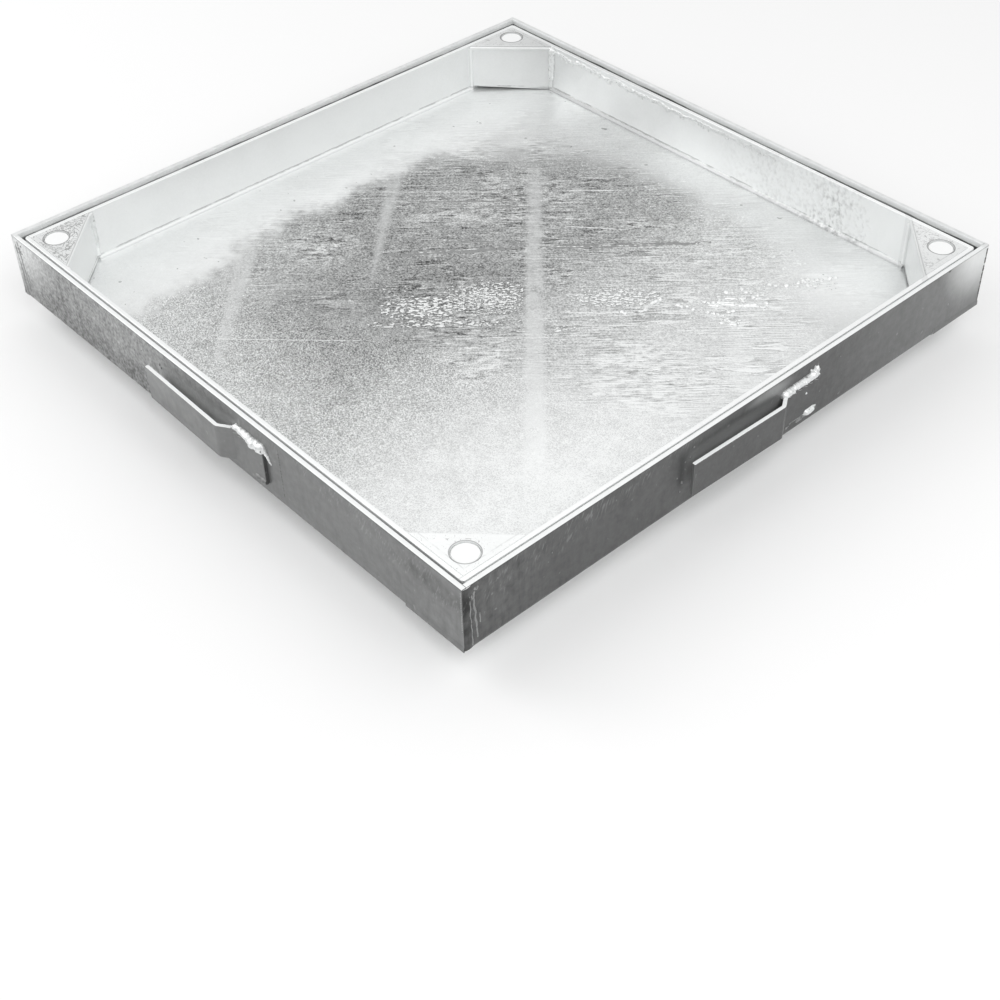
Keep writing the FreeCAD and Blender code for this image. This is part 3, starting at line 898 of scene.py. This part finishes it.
def make_corner_runs():
    """Wrinkled seam beside each outer corner of the frame: wavy upright ridges of zinc, a line
    along the corner, near black as painted shade at the front right one, and a pale edge on the
    other side of the corner."""
    line_height = 0.0605
    for quarter, name in enumerate(CORNERS):
        rng = random.Random(90 + quarter)
        parts = {"ridge": [], "groove": []}
        for label, *shape in CORNER_LINES:
            parts[label] += corner_line(*shape, quarter)
        parts["ridge"] += [draw(rng, *CORNER_SPECKS) for _ in range(12)]
        corner = (-FRAME_HALF + 0.0005, -FRAME_HALF, FRAME_FOOT)
        # At the front right corner the line is near black: painted shade beside the ridges
        groove_look = "groove" if name == "front_right" else "edge"
        for label, look, lumps in (("ridge", "run", 0.00022), ("groove", groove_look, 0.0003)):
            freeze_drops(parts[label], corner, (0.022, line_height), lumps, 51,
                         f"corner_{label}_{name}", quarter, look)
        dark = name == "back_right"
        radii, lumps = ((0.0009, 0.0013), 0.0005) if dark else ((0.0006, 0.0007), 0.0003)
        edge = bead((0.0048, 0.01 if dark else 0.022), (0.0046, 0.058), radii,
                    (0.0004, 0.0005), 0.0014, rng)
        corner = (FRAME_HALF - 0.006, -FRAME_HALF, FRAME_FOOT)
        freeze_drops(edge, corner, (0.006, line_height), lumps, 58,
                     f"corner_edge_{name}", quarter - 1, "groove" if dark else "edge")


# Spatter on an outer face of the frame (mm): place along the side, height, radius
SPATTER = (
    (-66, 73, 0.8), (-69, 65, 0.7), (-74.5, 64, 0.6), (-74, 57, 0.6), (-76.5, 46, 1.1),
    (-78, 38, 0.6), (-82, 53, 0.5), (98, 67, 0.6), (-205, 62, 0.5),
)


def make_spatter():
    """Small drops on the outer faces."""
    for quarter, side in enumerate(SIDES):
        rng = random.Random(120 + quarter)
        shape = bmesh.new()
        for u, v, radius in metres(SPATTER):
            if side != "right":
                u += rng.uniform(-0.02, 0.02)
                v += rng.uniform(-0.008, 0.006)
            stretch = Matrix.Diagonal((radius, radius * 0.75, radius * rng.uniform(1, 1.6), 1))
            matrix = Matrix.Translation((u, -FRAME_HALF, v)) @ stretch
            made = bmesh.ops.create_icosphere(shape, subdivisions=2, radius=1, matrix=matrix)
            for vertex in made["verts"]:
                vertex.co += 0.15 * radius * noise.noise(vertex.co * 900) * Vector((1, 1, 1))
        add_piece(f"spatter_{side}", mesh_of(shape, "spatter"), quarter, "run")


def make_nut_welds():
    """Lumps of weld on the flange beside each nut, with drops thrown on the flange."""
    flange_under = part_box("long_nut_front_left")[1][2]
    nut = Vector([sum(pair) / 2 for pair in zip(*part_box("long_nut_front_left"))])
    half = 0.022
    corner = (nut.x - half, nut.y - half, flange_under)

    def drop(angle, reach, radius, rise):
        """Drop at an angle and a distance from the middle of the nut."""
        u, v = half + reach * math.cos(angle), half + reach * math.sin(angle)
        return u, v, radius, radius, rise

    for quarter, name in enumerate(CORNERS):
        rng = random.Random(150 + quarter)
        drops = []
        for middle in (135, -45):
            for step in range(-2, 3):
                angle = math.radians(middle + 13 * step) + rng.uniform(-0.1, 0.1)
                reach, radius = draw(rng, (0.0095, 0.0108), (0.0034, 0.0042))
                rise = rng.uniform(0.0062, 0.008) * (1 - 0.12 * abs(step))
                drops.append(drop(angle, reach, radius, rise))
        for _ in range(14):
            angle, reach, radius = draw(rng, (0, 6.283), (0.011, 0.02), (0.0006, 0.0016))
            drops.append(drop(angle, reach, radius, radius * 0.7))
        freeze_drops(drops, corner, (2 * half, 2 * half), 0.0006, 71,
                     f"nut_weld_{name}", quarter, "weld", (Y_WAY, X_WAY))


# Zinc crusts on the tray floor (mm): centre, half length along the drag and half width across
# it, height, share of the patch that stays bare, size of the lumps, look
CRUSTS = (
    ((-20, -61), 38, 19, 1, -0.13, 0.8, "crust"),
    ((5, -12), 40, 26, 1, -0.13, 0.62, "crust"),
    ((8, -62.4), 68, 6, 0.9, -0.1, 1, "crust"),
    ((-58, -70), 34, 15, 0.6, 0.14, 0.9, "crust"),
    ((80, 0), 17, 7, 0.8, 0, 0.95, "grey_crust"),
    ((79, 65), 40, 14, 0.9, -0.12, 0.76, "grey_crust"),
    ((150, 130), 30, 10, 1, 0.02, 1.3, "pale_crust"),
    ((168, 108), 10, 5, 1, -0.08, 1.2, "pale_crust"),
    ((150, 160), 22, 18, 0.8, 0.16, 0.8, "pale_crust"),
    ((178, 198), 24, 10, 0.8, 0.08, 0.9, "pale_crust"),
    ((-145, -58), 24, 14, 0.6, 0.18, 1, "crust"),
    ((-96, 98), 50, 24, 0.5, 0.2, 0.9, "crust"),
)


def crust_levels(corner, ways, half_length, half_width, height, bare, lump, seed):
    """Levels of a patch of crust: short worm-like lumps along the drag, thinning out to its rim.
    Nothing stands in the widest wiped stripe, which was wiped when the zinc was still soft."""
    start, end, _, stripe_half = metres(WIPES[0][:4])
    stripe = (Vector(end) - Vector(start)).normalized()
    columns = int(2 * half_length / FLOOR_STEP) + 1
    rows = int(2 * half_width / FLOOR_STEP) + 1
    levels = np.full((columns, rows), -ROOT)
    for column, row in np.ndindex(columns, rows):
        a = -half_length + column * FLOOR_STEP
        b = -half_width + row * FLOOR_STEP
        rim = (a / half_length) ** 2 + (b / half_width) ** 2
        place = corner + column * FLOOR_STEP * ways[0] + row * FLOOR_STEP * ways[1]
        if rim > 0.98 or abs((place.to_2d() - Vector(start)).cross(stripe)) < stripe_half:
            continue
        worms = noise.noise((a * 200 / lump, b * 430 / lump, seed))
        grains = noise.noise((a * 450 / lump, b * 700 / lump, seed + 7))
        strength = 0.75 * worms + 0.45 * grains - bare - 0.26 * rim
        levels[column, row] = height * min(1, 2.8 * strength)
    return levels


def on_drag(angle):
    """Directions on the tray floor along marks at the given angle, and across them."""
    along = Vector((math.cos(angle), math.sin(angle), 0))
    return along, Vector((-along.y, along.x, 0))


def make_floor_crusts():
    """Crusts on the tray floor."""
    ways = on_drag(DRAG_ANGLE)
    for index, (*sizes, bare, lump, look) in enumerate(CRUSTS):
        centre, half_length, half_width, height = metres(sizes)
        corner = Vector((*centre, FLOOR_TOP)) - half_length * ways[0] - half_width * ways[1]
        levels = crust_levels(
            corner, ways, half_length, half_width, height, bare, lump, 5 + 11 * index)
        mesh = frozen(levels, FLOOR_STEP, corner, *ways)
        add_piece(f"floor_crust_{index + 1}", mesh, 0, look)


# Single drag marks on the tray floor (mm): start, end, half width, height, look
STREAKS = (
    ((-106.3, -37.7), (-29.4, 60.4), 3, 0.12, "dross"),
    ((-24, 66), (79.3, 184.4), 3, 0.12, "dross"),
    ((-149, 42.7), (-84, 113), 1.3, 0.1, "dross"),
    ((-104, 78), (-70, 113), 1.1, 0.1, "dross"),
    ((-85, 15), (-50, 52), 1.1, 0.1, "dross"),
    ((-211.8, 2.2), (-95.8, 122.2), 0.5, 0.12, "weld"),
    ((-30.4, 108.7), (13.6, 145.8), 0.8, 0.12, "weld"),
    ((-124.8, -230.1), (-11.8, -116.8), 0.5, 0.12, "weld"),
    ((-150, -148), (-110, -104), 0.4, 0.12, "weld"),
    ((-73.6, 147.7), (-33.6, 191.6), 0.7, 0.12, "weld"),
    ((85, 162.8), (115.7, 205.8), 0.8, 0.14, "weld"),
    ((-22, 69), (56, 156), 0.8, 0.12, "weld"),
    ((-98, -26), (-48, 40), 0.7, 0.12, "weld"),
    ((61.6, 16.4), (106.2, 62.9), 0.8, 0.3, "weld"),
    ((106.2, 62.9), (106.8, 93.4), 2.2, 1.4, "weld"),
    ((140, 116.5), (174, 145.9), 1.5, 0.8, "weld"),
)


def make_drag_marks():
    """Ragged ridges of frozen zinc and films of dross, thin at both ends."""
    for index, (*sizes, look) in enumerate(STREAKS):
        start, end, half_width, height = metres(sizes)
        run = Vector(end) - Vector(start)
        along, across = on_drag(math.atan2(run.y, run.x))
        gaps, rag = (0.9, 2.4) if look == "dross" else (0.5, 1.5)
        reach = 2.2 * half_width
        levels = np.zeros((int(run.length / FACE_STEP) + 1, int(2 * reach / FACE_STEP) + 1))
        for column in range(levels.shape[0]):
            a = column * FACE_STEP
            taper = min(1, 5 * a / run.length, 5 * (run.length - a) / run.length)
            middle = half_width * noise.noise((a * 70, 3, index))
            broken = noise.noise((a * 260, 9, index)) * gaps
            for row in range(levels.shape[1]):
                b = (row * FACE_STEP - reach - middle) / half_width
                ragged = noise.noise((a * 420, b * rag, index + 0.5))
                levels[column, row] = height * (taper + broken + ragged - 0.2 - b * b)
        corner = Vector((*start, FLOOR_TOP)) - reach * across
        mesh = frozen(levels, FACE_STEP, corner, along, across)
        add_piece(f"drag_mark_{index + 1}", mesh, 0, look)


# Drops of zinc on the tray floor (mm)
DROPS = (
    (121.9, 95.4), (125.7, 95.5), (128.7, 99.5), (134.8, 100.1), (134.5, 115.4), (137.9, 115.4),
    (140, 119), (145.2, 118.1), (145.5, 105.6), (150.2, 107.6), (153.8, 109.4), (157.1, 111.4),
    (157.6, 118.2), (159.4, 121.9), (163, 110.6), (166.3, 109.2), (169.8, 107.3), (172.7, 108.4),
    (158, 148.6), (158.6, 153.1), (161.2, 156.8), (167.5, 156), (171, 149.9), (173.5, 144),
    (155.2, 172.8), (159.8, 175), (165.9, 181.4), (170.5, 191.2), (170.6, 197.3), (173.6, 196.8),
    (172.9, 201.2), (178.3, 194.3), (178.2, 206.7), (182.1, 207.4), (184.2, 216.5), (187.6, 220.1),
    (96.7, 54.6), (100.2, 55.5), (149, 149.9), (143.3, 150.5), (141.3, 140.9), (137.4, 137.8),
)


def make_floor_drops():
    corner = Vector((0.09, 0.048, FLOOR_TOP))
    rng = random.Random(170)
    drops = []
    for x, y in metres(DROPS):
        size = rng.uniform(0.0015, 0.0025)
        drops.append((x - corner.x, y - corner.y, size, size * rng.uniform(0.8, 1.3), 0.65 * size))
    freeze_drops(drops, corner, (0.104, 0.178), 0.0003, 111,
                 "floor_drops", 0, "weld", LEVEL, FLOOR_STEP)


# Crusts on the lids of the corner boxes: cords to a metre, their half width as a share of the
# gap between them, height, look
LID_CRUSTS = {
    "front_left": (300, 0.13, 0.0004, "lid_curl"),
    "front_right": (360, 0.025, 0.0001, "lid_crust"),
    "back_right": (420, 0.06, 0.00025, "lid_crust"),
    "back_left": (330, 0.06, 0.00025, "lid_crust"),
}


def make_lid_crusts():
    """Winding cords of frozen zinc on the lids, clear of the holes for the plugs."""
    leg = TRAY_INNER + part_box("corner_plate_front_left")[1][0] - 0.0008
    hole = TRAY_INNER - PLUG_CENTRE
    hole_radius = PLUG_RADIUS + 0.0006
    count = int(leg / FACE_STEP)
    corner = Vector((-TRAY_INNER, -TRAY_INNER, TRAY_TOP))
    for quarter, name in enumerate(CORNERS):
        scale, width, height, look = LID_CRUSTS[name]
        levels = np.full((count, count), -ROOT)
        for column in range(2, count):
            u = column * FACE_STEP
            for row in range(2, count - column):
                v = row * FACE_STEP
                if math.hypot(u - hole, v - hole) < hole_radius:
                    continue
                bend = 1.2 * noise.noise((u * 90, v * 90, 40 + quarter))
                cord = abs(noise.noise((u * scale + bend, v * scale - bend, 60 + quarter)))
                patch = noise.noise((u * 60, v * 60, 80 + quarter))
                levels[column, row] = height * min(1, 5 * (width * (1 + 1.5 * patch) - cord))
        mesh = frozen(levels, FACE_STEP, corner, *LEVEL)
        add_piece(f"lid_crust_{name}", mesh, quarter, look)


def make_floor():
    mesh = bpy.data.meshes.new("studio_floor")
    half = 8
    corners = [(-half, -half, 0), (half, -half, 0), (half, half, 0), (-half, half, 0)]
    mesh.from_pydata(corners, [], [(0, 1, 2, 3)])
    floor = add_object("studio_floor", mesh)
    material, surface, _ = new_material("studio_floor")
    set_inputs(surface, {
        "Base Color": (0.92, 0.92, 0.92, 1), "Roughness": 1, "Specular IOR Level": 0,
    })
    mesh.materials.append(material)


def area_light(name, place, aim, side, power):
    """Square lamp with sides of the given length."""
    data = bpy.data.lights.new(name, "AREA")
    data.shape = "RECTANGLE"
    data.size = data.size_y = side
    data.energy = power
    lamp = add_object(name, data)
    lamp.location = place
    lamp.rotation_euler = (Vector(aim) - Vector(place)).to_track_quat("-Z", "Y").to_euler()


def make_light():
    """Bright ceiling over darker walls, and soft lamps at the left and right."""
    world = bpy.data.worlds.new("studio")
    world.use_nodes = True
    bpy.context.scene.world = world
    tree = world.node_tree
    direction = Value(add_node(tree, "ShaderNodeTexCoord").outputs["Generated"])
    strength = direction.dot(Z_WAY).smooth(0.22, 0.74, 0.42, 1.02)
    set_inputs(tree.nodes["Background"], {"Strength": strength, "Color": (1, 1, 1, 1)})
    area_light("left_lamp", (-1.3, -0.9, 1), (-0.1, -0.1, 0), 0.9, 5.5)
    area_light("right_lamp", (1.3, -0.3, 1.5), (0, 0, 0), 1.2, 8)


make_camera()
LOOKS = make_looks()
make_strap_welds()
make_face_lines()
make_gusset_welds()
make_rim_runs()
make_corner_runs()
make_spatter()
make_nut_welds()
make_floor_crusts()
make_drag_marks()
make_floor_drops()
make_lid_crusts()
make_floor()
make_light()
bpy.context.scene.view_settings.view_transform = "Standard"
